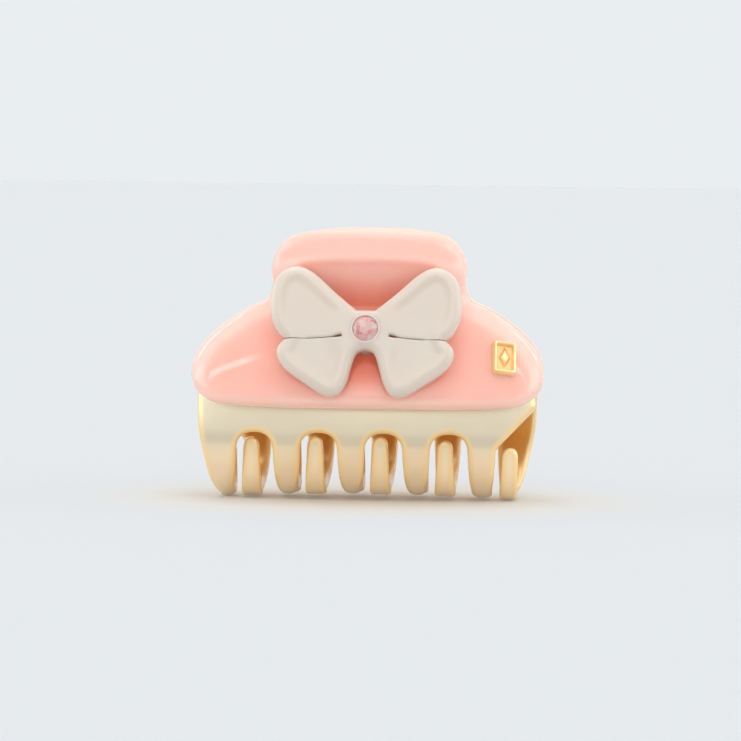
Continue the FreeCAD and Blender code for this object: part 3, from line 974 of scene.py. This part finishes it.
@dataclass
class Stud:
    """Gold plate with a raised frame round a sunk field and a faceted lozenge, on the front cover."""

    cover: Cover
    x: float = 21.0
    z: float = 22.4
    width: float = 3.7
    height: float = 5.3
    thickness: float = 1.15
    field: float = 0.4
    bar: float = 0.62
    lozenge: tuple = (0.95, 1.75)
    sunk: float = 0.35
    corner: float = 0.45

    def frame(self) -> tuple[Array, Array, Array, Array]:
        """Middle, across, upward and outward directions on the cover's face."""
        _, outer = self.cover.faces()
        heights = self.cover.heights
        step = self.width / 2
        flat = np.array([[self.x, self.z], [self.x + step, self.z], [self.x - step, self.z],
                         [self.x, self.z + step], [self.x, self.z - step]])
        column = (flat[:, 1] - heights[0]) / (heights[1] - heights[0])
        y = self.cover.sheet.at(outer, flat[:, 0], column)
        points = np.column_stack([flat[:, 0], y, flat[:, 1]])
        upward = points[3] - points[4]
        upward /= np.linalg.norm(upward)
        outward = np.cross(points[1] - points[2], upward)
        outward /= np.linalg.norm(outward)
        return points[0], np.cross(upward, outward), upward, outward

    def build(self) -> bpy.types.Object:
        """Makes the stud as a plate with a frame, a sunk field and a lozenge in it."""
        middle, across, upward, outward = self.frame()
        w, h, r = self.width / 2, self.height / 2, self.corner
        turns = [(w - r, h - r, 0), (r - w, h - r, 1), (r - w, r - h, 2), (w - r, r - h, 3)]
        angle = np.linspace(0, math.pi / 2, 7)
        loop = np.vstack([np.column_stack([x + r * np.cos(angle + q * math.pi / 2),
                                           y + r * np.sin(angle + q * math.pi / 2)])
                          for x, y, q in turns])
        loop = anticlockwise(evenly(loop, 0.1))

        def front(flat: Array) -> Array:
            """Face: a round-topped frame, a sunk field and a faceted lozenge that stands in it."""
            edge = distance_to(flat, loop)
            bar = np.clip(np.abs(edge - self.bar / 2) / (self.bar / 2), 0, 1)
            frame = (self.thickness - self.field) * np.sqrt(np.maximum(0, 1 - bar ** 3))
            frame = np.where(edge < self.bar, frame, 0)
            lozenge = 1 - np.abs(flat[:, 0]) / self.lozenge[0] - np.abs(flat[:, 1]) / self.lozenge[1]
            rise = np.clip(lozenge * 1.6, 0, 0.85) * (self.thickness - self.field)
            outside = np.minimum(1, edge / 0.12)
            return (self.field + np.maximum(frame, rise)) * (0.35 + 0.65 * outside)

        def back(flat: Array) -> Array:
            """Back face, let into the cover."""
            return np.full(len(flat), -self.sunk)

        def place(flat: Array, out: Array) -> Array:
            """Onto the cover's face."""
            return middle + flat[:, :1] * across + flat[:, 1:] * upward + out[:, None] * outward

        plate = Plate(loop, front, back, place, rim=0.3, rings=4, fill=0.11)
        return plate.build("stud_plate")


@dataclass
class Spring:
    """Torsion spring: a close coil round the pin and a leg up behind each finger plate."""

    sheet: JawSheet
    hinge: float = HINGE
    wire: float = 0.45
    coil: float = 1.95
    whole_turns: int = 6
    pitch: float = 1.0
    leg_end: float = 36.0
    seat_gap: float = 0.3

    def sizes(self) -> tuple[float, float, float]:
        """Spread of the legs from upright, number of turns, and length of a leg."""
        rise = self.leg_end - self.hinge
        inner = self.sheet.depth_table(-self.sheet.wall / 2, np.array([self.leg_end]))
        reach = -inner[len(inner) // 2, 0] - self.wire - self.seat_gap
        spread = math.atan2(reach, rise) - math.asin(self.coil / math.hypot(reach, rise))
        turns = self.whole_turns + 0.5 - spread / math.pi
        return spread, turns, (rise + self.coil * math.sin(spread)) / math.cos(spread)

    def half_length(self) -> float:
        """Half the distance between the two legs."""
        return self.sizes()[1] * self.pitch / 2

    def build(self) -> bpy.types.Object:
        """Makes the wire: a helix (x, r sin a, -r cos a) that runs out straight at both ends."""
        spread, turns, leg = self.sizes()
        half = turns * self.pitch / 2
        share = np.linspace(0, 1, int(40 * turns))
        angle = spread - math.pi / 2 + 2 * math.pi * turns * share
        coil = np.column_stack([half * (2 * share - 1), self.coil * np.sin(angle),
                                self.hinge - self.coil * np.cos(angle)])
        steps = np.linspace(0, leg, 24)[1:, None]
        front = coil[0] + steps[::-1] * [0, -math.sin(spread), math.cos(spread)]
        rear = coil[-1] + steps * [0, math.sin(spread), math.cos(spread)]
        points, faces = tube(np.vstack([front, coil, rear]), self.wire, 20)
        spring = make_object("spring_wire", points, faces)
        face_outwards(spring)
        return spring


@dataclass
class Pin:
    """Steel hinge pin with a domed head at one end and a peened end at the other."""

    hinge: float = HINGE
    radius: float = 0.9
    head: float = 1.48
    near: float = -10.2
    far: float = 10.3
    head_length: float = 0.6

    def build(self) -> bpy.types.Object:
        """Turns the pin's outline round its axis."""
        angle = np.linspace(0, math.pi / 2, 7)
        dome = np.column_stack([1 - np.cos(angle), np.sin(angle)])
        left = dome * [self.head_length * 0.8, self.head] + [self.near, 0]
        right = (dome * [-self.head_length * 0.8, self.head] + [self.far, 0])[::-1]
        neck_left = self.near + self.head_length
        neck_right = self.far - self.head_length
        middle = np.array([[neck_left - 0.03, self.head], [neck_left, self.head - 0.05],
                           [neck_left, self.radius + 0.04], [neck_left + 0.04, self.radius],
                           [neck_right - 0.04, self.radius], [neck_right, self.radius + 0.04],
                           [neck_right, self.head - 0.05], [neck_right + 0.03, self.head]])
        points, faces = turned(np.vstack([left, middle, right]), 48, self.hinge)
        pin = make_object("pin_turned", points, faces)
        face_outwards(pin)
        return pin


# ---------------------------------------------------------------- materials


class Value:
    """A socket of a node tree that Python's operators build Math nodes from."""

    def __init__(self, nodes: "Nodes", socket: Any) -> None:
        """Wraps a socket of the given tree."""
        self.nodes = nodes
        self.socket = socket

    def math(self, operation: str, *others: Any) -> "Value":
        """One Math node on this value and up to two more."""
        inputs = {0: self}
        inputs.update({index + 1: other for index, other in enumerate(others)})
        return self.nodes.make("ShaderNodeMath", {"operation": operation}, inputs)

    def __add__(self, other: Any) -> "Value":
        """Sum."""
        return self.math("ADD", other)

    __radd__ = __add__

    def __mul__(self, other: Any) -> "Value":
        """Product."""
        return self.math("MULTIPLY", other)

    __rmul__ = __mul__

    def __sub__(self, other: Any) -> "Value":
        """Difference."""
        return self.math("SUBTRACT", other)

    def __rsub__(self, other: Any) -> "Value":
        """Difference from a number."""
        return self.math("MULTIPLY_ADD", -1.0, other)

    def ramp(self, low: float, high: float) -> "Value":
        """0 below low, 1 above high, smooth between."""
        return self.nodes.make("ShaderNodeMapRange", {"interpolation_type": "SMOOTHSTEP"},
                               {"Value": self, "From Min": low, "From Max": high})


@dataclass
class Nodes:
    """A node tree and the one way nodes are added to it."""

    tree: Any

    def make(self, kind: str, settings: dict | None = None, inputs: dict | None = None,
             output: Any = 0) -> Value:
        """Adds a node.

        Args:
            kind: The node's type.
            settings: Attributes set first.
            inputs: Values or links by socket name or number.
            output: Socket that the returned value wraps.

        Returns:
            The chosen output.
        """
        node = self.tree.nodes.new(kind)
        for name, value in (settings or {}).items():
            setattr(node, name, value)
        for name, value in (inputs or {}).items():
            socket = node.inputs[name]
            if isinstance(value, Value):
                self.tree.links.new(value.socket, socket)
            else:
                socket.default_value = value
        return Value(self, node.outputs[output])

    def close(self, kind: str, surface: Value) -> None:
        """Adds the tree's output node."""
        self.tree.links.new(surface.socket, self.tree.nodes.new(kind).inputs["Surface"])

    def place(self) -> Value:
        """Object coordinates in metres."""
        return self.make("ShaderNodeTexCoord", output="Object")

    def part(self, vector: Value, axis: str) -> Value:
        """One component of a vector."""
        return self.make("ShaderNodeSeparateXYZ", inputs={"Vector": vector}, output=axis)

    def attribute(self, name: str) -> Value:
        """A number stored on the mesh's vertices."""
        return self.make("ShaderNodeAttribute", {"attribute_name": name}, output="Fac")

    def noise(self, vector: Value, scale: float, detail: float) -> Value:
        """Noise around 0.5."""
        return self.make("ShaderNodeTexNoise", inputs={"Vector": vector, "Scale": scale, "Detail": detail},
                         output="Fac")

    def mixed(self, share: Any, first: Any, second: Any) -> Value:
        """Colour between two colours."""
        return self.make("ShaderNodeMix", {"data_type": "RGBA"}, {0: share, 6: first, 7: second}, output=2)

    def bump(self, height: Value, distance: float, strength: float) -> Value:
        """Normal bent by a height."""
        return self.make("ShaderNodeBump", inputs={"Height": height, "Distance": distance,
                                                   "Strength": strength}, output="Normal")


def rgba(red: float, green: float, blue: float) -> tuple[float, float, float, float]:
    """Colour written as 0-255 screen values, turned to the linear values that nodes take."""
    def linear(value: float) -> float:
        """Inverse of the screen curve."""
        share = value / 255
        return share / 12.92 if share <= 0.04045 else ((share + 0.055) / 1.055) ** 2.4
    return (linear(red), linear(green), linear(blue), 1.0)


@dataclass(frozen=True)
class Finish:
    """A material built on the Principled shader."""

    name: str

    def shader(self, nodes: Nodes, **inputs: Any) -> None:
        """Adds the shader and the output.

        Args:
            nodes: The material's tree.
            inputs: Socket values, with spaces in names written as underscores.
        """
        named = {key.replace("_", " "): value for key, value in inputs.items()}
        surface = nodes.make("ShaderNodeBsdfPrincipled", inputs=named, output="BSDF")
        nodes.close("ShaderNodeOutputMaterial", surface)

    def material(self) -> bpy.types.Material:
        """Makes the material."""
        material = bpy.data.materials.new(self.name)
        material.use_nodes = True
        material.node_tree.nodes.clear()
        self.wire(Nodes(material.node_tree))
        return material

    def wire(self, nodes: Nodes) -> None:
        """Adds the finish's own nodes."""
        raise NotImplementedError


@dataclass(frozen=True)
class Acetate(Finish):
    """Polished sheet acetate: softly clouded, slightly see-through, with hairline scuffs and a faint painted
    glow that lifts its shadows.
    """

    light: tuple
    deep: tuple
    painted_centre_shade: tuple
    scatter: float
    bleed: tuple
    roughness: float
    edge_share: float
    painted_glow: float
    painted_shade_top: tuple = (28.0 * MM, 36.0 * MM)
    painted_shade_sides: tuple = (3.0 * MM, 18.0 * MM)

    def wire(self, nodes: Nodes) -> None:
        """Paler at the thin edge and deeper in the full middle, with a painted shade tone in the low middle
        where the bow shades the cover, clouded, scuffed and rippled.
        """
        place = nodes.place()
        clouds = nodes.noise(place, 90.0, 2.0).ramp(0.3, 0.75)
        inner = nodes.attribute("fullness").ramp(self.edge_share, 1.0)
        # Painted shade: the low middle of the piece (on the cover, under the bow) takes a deeper, redder tone
        # that stands in for the bow's shadow and the light bounced between bow and cover.
        low = 1.0 - nodes.part(place, "Z").ramp(*self.painted_shade_top)
        centre = 1.0 - nodes.part(place, "X").math("ABSOLUTE").ramp(*self.painted_shade_sides) * 0.85
        middle = nodes.attribute("edge_distance").ramp(1.5, 6.0) * low * centre
        colour = nodes.mixed(inner * 0.85 + clouds * 0.15, self.light, self.deep)
        colour = nodes.mixed(middle, colour, self.painted_centre_shade)
        stretched = nodes.make("ShaderNodeMapping", inputs={"Vector": place, "Scale": (900.0, 300.0, 2600.0)})
        scuffs = nodes.noise(stretched, 1.0, 2.0).ramp(0.62, 0.8)
        ripple = nodes.noise(place, 160.0, 1.0)
        # Painted light: a faint glow in the acetate's own colour keeps the red of its shadows high; it is no
        # lamp.
        self.shader(nodes, Base_Color=colour, Roughness=self.roughness + scuffs * 0.06, IOR=1.49,
                    Subsurface_Weight=self.scatter, Subsurface_Radius=self.bleed, Subsurface_Scale=4 * MM,
                    Emission_Color=colour, Emission_Strength=self.painted_glow,
                    Normal=nodes.bump(ripple, 0.00006, 0.35))


@dataclass(frozen=True)
class GoldLacquer(Finish):
    """Satin champagne-gold lacquer over moulded plastic, with painted shade inside and painted highlights
    along its edges.
    """

    pale: tuple
    warm: tuple
    rim: tuple
    inner: tuple
    painted_band_shade: tuple
    mottle: tuple
    roughness: float
    painted_reflection_top: tuple = (6.0 * MM, 10.5 * MM)
    painted_band_foot: tuple = (8.2 * MM, 9.2 * MM)
    painted_band_top: tuple = (9.6 * MM, 11.2 * MM)

    def wire(self, nodes: Nodes) -> None:
        """Pale wall over warmer teeth, a darker band between, a warmer inside and brighter edges: the warm
        teeth paint the floor's reflection, the band and the inside paint shade, and the edges paint
        highlights.
        """
        place = nodes.place()
        height = nodes.part(place, "Z")
        low = 1.0 - height.ramp(*self.painted_reflection_top)
        edge = 1.0 - nodes.attribute("edge_distance").ramp(0.5, 1.15)
        inside = 1.0 - nodes.attribute("outer_face").ramp(0.2, 0.8)
        flake = nodes.noise(place, 2600.0, 2.0)
        mottle = nodes.noise(place, 260.0, 3.0).ramp(0.3, 0.7)
        # Painted reflection: the teeth below the wall take a warmer tone that stands in for the lit floor
        # they face; it fades out up the wall.
        colour = nodes.mixed(low, self.pale, self.warm)
        # Painted shade: the faces inside the jaw take a deeper orange that stands in for the light bounced
        # round between the gold faces.
        colour = nodes.mixed(inside, colour, self.inner)
        # Painted shade: a darker band across the outer wall just above the arches, where the wall bends away
        # from the light.
        painted_band_shade = height.ramp(*self.painted_band_foot) * (1.0 - height.ramp(*self.painted_band_top)) * (1.0 - inside)
        colour = nodes.mixed(painted_band_shade * 0.22, colour, self.painted_band_shade)
        # Painted highlight: a brighter, less metallic rim tone along every edge stands in for the gloss the
        # rounded edges catch.
        colour = nodes.mixed(edge * 0.9, colour, self.rim)
        colour = nodes.mixed(mottle * 0.06, colour, self.mottle)
        self.shader(nodes, Base_Color=colour, Metallic=0.86 - low * 0.34 - edge * 0.30,
                    Roughness=self.roughness + flake * 0.10, Coat_Weight=0.25, Coat_Roughness=0.12,
                    Normal=nodes.bump(flake, 0.00001, 0.5))


@dataclass(frozen=True)
class DrawnSteel(Finish):
    """Bright steel with fine marks along one axis, as drawing leaves them."""

    colour: tuple
    worn: tuple
    roughness: float
    grain: tuple

    def wire(self, nodes: Nodes) -> None:
        """Fine stretched marks in the colour, roughness and surface."""
        place = nodes.place()
        stretched = nodes.make("ShaderNodeMapping", inputs={"Vector": place, "Scale": self.grain})
        marks = nodes.noise(stretched, 1.0, 3.0).ramp(0.35, 0.75)
        self.shader(nodes, Base_Color=nodes.mixed(marks * 0.5, self.colour, self.worn), Metallic=1.0,
                    Roughness=self.roughness + marks * 0.08, Normal=nodes.bump(marks, 0.000006, 0.4))


@dataclass(frozen=True)
class CutStone(Finish):
    """Foil-backed pink stone whose facets carry painted reflections in light and dark pink."""

    pale: tuple
    middle: tuple
    deep: tuple
    see_through: float

    def wire(self, nodes: Nodes) -> None:
        """Painted reflections: cells of light and dark pink, as a brilliant cut breaks up what it reflects.
        """
        painted_facet_cells = nodes.make("ShaderNodeTexVoronoi", {"feature": "F1"},
                           {"Vector": nodes.place(), "Scale": 1500.0}, output="Color")
        tone, other = nodes.part(painted_facet_cells, "X"), nodes.part(painted_facet_cells, "Y")
        colour = nodes.mixed(tone.ramp(0.15, 0.5), self.deep, self.middle)
        colour = nodes.mixed(other.ramp(0.5, 0.9), colour, self.pale)
        self.shader(nodes, Base_Color=colour, Roughness=0.03 + tone * 0.05, IOR=1.55,
                    Transmission_Weight=self.see_through)


@dataclass(frozen=True)
class Plating(Finish):
    """Polished gold plate, deeper and redder in its sunk field."""

    bright: tuple
    sunk: tuple

    def wire(self, nodes: Nodes) -> None:
        """Two golds by how far the face stands out, with fine polishing marks."""
        out = nodes.attribute("fullness").ramp(0.4, 0.72)
        out = out.math("MAXIMUM", 1.0 - nodes.attribute("edge_distance").ramp(0.06, 0.14))
        marks = nodes.noise(nodes.place(), 3000.0, 2.0)
        self.shader(nodes, Base_Color=nodes.mixed(out, self.sunk, self.bright), Metallic=0.6,
                    Roughness=0.2 + marks * 0.1, Normal=nodes.bump(marks, 0.000008, 0.5))


@dataclass(frozen=True)
class Ground(Finish):
    """Pale light table: matt, and lit a little from below."""

    colour: tuple
    tone: float
    glow: float
    painted_bounce_tint: tuple = (1.12, 1.02, 0.86, 1.0)
    painted_bounce_reach: tuple = (12.0 * MM, 50.0 * MM)

    def wire(self, nodes: Nodes) -> None:
        """Matt colour for the light that falls on it, with a painted warm bounce from the gold near the clip,
        and a glow of its own.
        """
        share = self.tone * (1 - self.glow)
        plain = tuple(np.array(self.colour) * (share, share, share, 1.0))
        # Painted light: the floor near the clip is tinted warm, standing in for light that the gold bounces
        # onto it.
        warm = tuple(np.array(plain) * self.painted_bounce_tint)
        far = nodes.make("ShaderNodeVectorMath", {"operation": "LENGTH"}, {0: nodes.place()}, output="Value")
        self.shader(nodes, Base_Color=nodes.mixed(far.ramp(*self.painted_bounce_reach), warm, plain), Roughness=1.0,
                    Specular_IOR_Level=0.0, Emission_Color=self.colour, Emission_Strength=self.glow)


# ---------------------------------------------------------------- studio


@dataclass
class Studio:
    """Pale surroundings with soft boxes, a floor of the same tone, and the camera."""

    floor_half: float = 30000.0
    distance: float = 700.0
    azimuth: float = 2.3
    camera_height: float = 50.0
    aim: tuple = (0.2, 0.0, 19.9)
    roll: float = 0.75
    view_width: float = 115.55
    sensor: float = 36.0
    pale: tuple = (0.823, 0.855, 0.880, 1.0)
    fill: float = 0.38
    facing: float = 0.45
    overhead: float = 2.2
    strip: float = 5.5
    slanting: float = 0.75
    sides: float = 1.9
    table_tone: float = 0.765
    table_glow: float = 0.16

    def build(self) -> None:
        """Adds the world, the floor and the camera."""
        self.surroundings()
        self.floor()
        self.camera()
        bpy.context.scene.view_settings.view_transform = "Standard"

    def surroundings(self) -> None:
        """World: soft boxes overhead, slanting down before and behind, and upright at the sides.

        Each box is bounded by a direction's share along an axis, 1 straight along it. A narrow
        bright band before and behind, high at either side, draws the thin lines of gloss.
        The camera sees one pale tone in its place, and so does what it sees through glass. What
        shines shows the boxes, and the pale tone between them.
        """
        world = bpy.data.worlds.new("studio")
        bpy.context.scene.world = world
        world.use_nodes = True
        world.node_tree.nodes.clear()
        nodes = Nodes(world.node_tree)
        direction = nodes.make("ShaderNodeTexCoord", output="Generated")
        x, y, z = (nodes.part(direction, axis) for axis in "XYZ")
        width, depth = x.math("ABSOLUTE"), y.math("ABSOLUTE")
        above = z.ramp(0.90, 0.92) * self.overhead
        band = depth.ramp(0.520, 0.535) * (1.0 - depth.ramp(0.565, 0.580))
        strip = band * z.ramp(0.25, 0.40) * width.ramp(0.44, 0.54) * self.strip
        slant = ((depth + z) * math.sqrt(0.5)).ramp(0.87, 0.90) * self.slanting * (1.0 - y * 0.5)
        window = z.ramp(-0.02, 0.02) * (1.0 - z.ramp(0.46, 0.50))
        side = width.ramp(0.84, 0.87) * window * self.sides
        facing = depth.ramp(0.60, 0.90) * self.facing
        level = above + strip + slant + side + facing + self.fill
        camera, glossy, through_glass = (nodes.make("ShaderNodeLightPath", output=kind) for kind in
                                         ("Is Camera Ray", "Is Glossy Ray", "Is Transmission Ray"))
        level = level.math("MAXIMUM", glossy * self.pale[1])
        light = nodes.make("ShaderNodeBackground", inputs={"Color": (1.0, 1.0, 1.0, 1.0), "Strength": level})
        seen = nodes.make("ShaderNodeBackground", inputs={"Color": self.pale, "Strength": 1.0})
        shown = camera.math("MAXIMUM", through_glass)
        nodes.close("ShaderNodeOutputWorld",
                    nodes.make("ShaderNodeMixShader", inputs={0: shown, 1: light, 2: seen}))

    def floor(self) -> None:
        """Floor under the teeth, far wider than the view."""
        points = self.floor_half * np.array([[-1, -1, 0], [1, -1, 0], [1, 1, 0], [-1, 1, 0]])
        floor = make_object("studio_floor", points, [(0, 1, 2, 3)])
        table = Ground("light_table", self.pale, self.table_tone, self.table_glow)
        floor.data.materials.append(table.material())

    def camera(self) -> None:
        """Long lens, a little to the stud's side and a little above."""
        rise = self.camera_height - self.aim[2]
        level = math.sqrt(self.distance ** 2 - rise ** 2)
        turn = math.radians(self.azimuth)
        place = Vector((self.aim[0] + level * math.sin(turn), -level * math.cos(turn), self.camera_height))
        lens = bpy.data.cameras.new("camera")
        lens.sensor_width = self.sensor
        lens.lens = self.sensor * self.distance / self.view_width
        lens.clip_start = 0.01
        lens.clip_end = 100.0
        camera = bpy.data.objects.new("camera", lens)
        bpy.context.scene.collection.objects.link(camera)
        camera.location = place * MM
        camera.rotation_euler = (Vector(self.aim) - place).to_track_quat("-Z", "Y").to_euler()
        camera.rotation_euler.rotate_axis("Z", math.radians(self.roll))
        bpy.context.scene.camera = camera


# ---------------------------------------------------------------- the clip


def dress(obj: bpy.types.Object, body: str, finish: bpy.types.Material,
          node: str | None = None) -> None:
    """Puts one piece in place.

    Args:
        obj: The piece.
        body: Body that it moves with.
        finish: Its material.
        node: Node that it stands for.
    """
    obj.data.materials.append(finish)
    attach(obj, body)
    if node:
        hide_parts(node)
    LOG.info("%s: %d vertices on %s", obj.name, len(obj.data.vertices), body)


def make_finishes() -> dict[str, bpy.types.Material]:
    """Makes the clip's materials, by the name of what wears them."""
    flesh, shell = (1.0, 0.28, 0.18), (1.0, 0.8, 0.6)
    # Painted reflections: the stone's pale, middle and deep pinks stand in for what its facets reflect.
    painted_facet_tones = (rgba(255, 240, 238), rgba(255, 206, 200), rgba(250, 160, 156))
    finishes = {
        # The cover's third colour is the painted shade tone under the bow.
        "cover": Acetate("peach_acetate", rgba(255, 204, 191), rgba(254, 186, 170), rgba(242, 128, 98),
                         scatter=0.6, bleed=flesh, roughness=0.06, edge_share=0.90, painted_glow=0.07),
        "bow": Acetate("cream_acetate", rgba(222, 211, 199), rgba(218, 206, 193), rgba(216, 204, 191),
                       scatter=0.25, bleed=shell, roughness=0.07, edge_share=0.55, painted_glow=0.0),
        # The lacquer's warm, inner, rim and band colours paint reflection, shade, highlight and shade.
        "jaw": GoldLacquer("champagne_lacquer", pale=rgba(236, 224, 196), warm=rgba(255, 231, 196),
                           rim=rgba(255, 221, 160), inner=rgba(246, 200, 122),
                           painted_band_shade=(0.42, 0.33, 0.20, 1.0), mottle=(0.55, 0.42, 0.25, 1.0),
                           roughness=0.26),
        "stud": Plating("gold_plate", bright=rgba(255, 230, 172), sunk=rgba(255, 196, 136)),
        "steel": DrawnSteel("bright_steel", colour=rgba(206, 204, 200), worn=rgba(182, 178, 172),
                            roughness=0.22, grain=(400.0, 2600.0, 2600.0)),
        "stone": CutStone("pink_stone", *painted_facet_tones, see_through=0.4),
        "foil": CutStone("pink_foil", *painted_facet_tones, see_through=0.0),
        "seat": Acetate("seat_acetate", rgba(246, 222, 212), rgba(244, 218, 208), rgba(244, 218, 208),
                        scatter=0.25, bleed=shell, roughness=0.08, edge_share=0.5, painted_glow=0.0),
    }
    return {name: finish.material() for name, finish in finishes.items()}


def build_spring(sheet: JawSheet, finish: bpy.types.Material) -> None:
    """Makes the spring wire, fixed in the frame's own place."""
    spring = Spring(sheet)
    wire = spring.build()
    wire.data.materials.append(finish)
    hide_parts("spring")
    inner = spring.half_length() - spring.wire
    -inner * MM
    inner * MM
    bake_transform(wire)
    LOG.info("%s: %d vertices between the bodies", wire.name, len(wire.data.vertices))


def build_clip() -> None:
    """Makes every piece of the clip."""
    finish = make_finishes()
    sheet, outline, front = JawSheet(), CoverOutline(), Side.FRONT.body
    jaw, cover = Jaw(sheet, outline), Cover(sheet, outline)
    for side in Side:
        moulding, *knuckles = jaw.build(side)
        dress(moulding, side.body, finish["jaw"], side.value + "_jaw")
        for knuckle in knuckles:
            dress(knuckle, side.body, finish["jaw"])
        dress(cover.build(side), side.body, finish["cover"], side.value + "_cover")

    bow = Bow()
    wings, boss = bow.build()
    dress(wings, front, finish["bow"], "bow")
    dress(boss, front, finish["bow"])
    stone, foil, seat = Stone(bow).build()
    dress(stone, front, finish["stone"], "crystal")
    dress(foil, front, finish["foil"])
    dress(seat, front, finish["seat"])
    dress(Stud(cover).build(), front, finish["stud"], "badge_stud")
    dress(Pin().build(), front, finish["steel"], "hinge_pin")
    build_spring(sheet, finish["steel"])


def main() -> None:
    """Builds the clip round the frame, and the studio round the clip."""
    logging.basicConfig(level=logging.INFO, format="%(name)s %(message)s")
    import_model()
    build_clip()
    Studio().build()


if __name__ == "__main__":
    main()
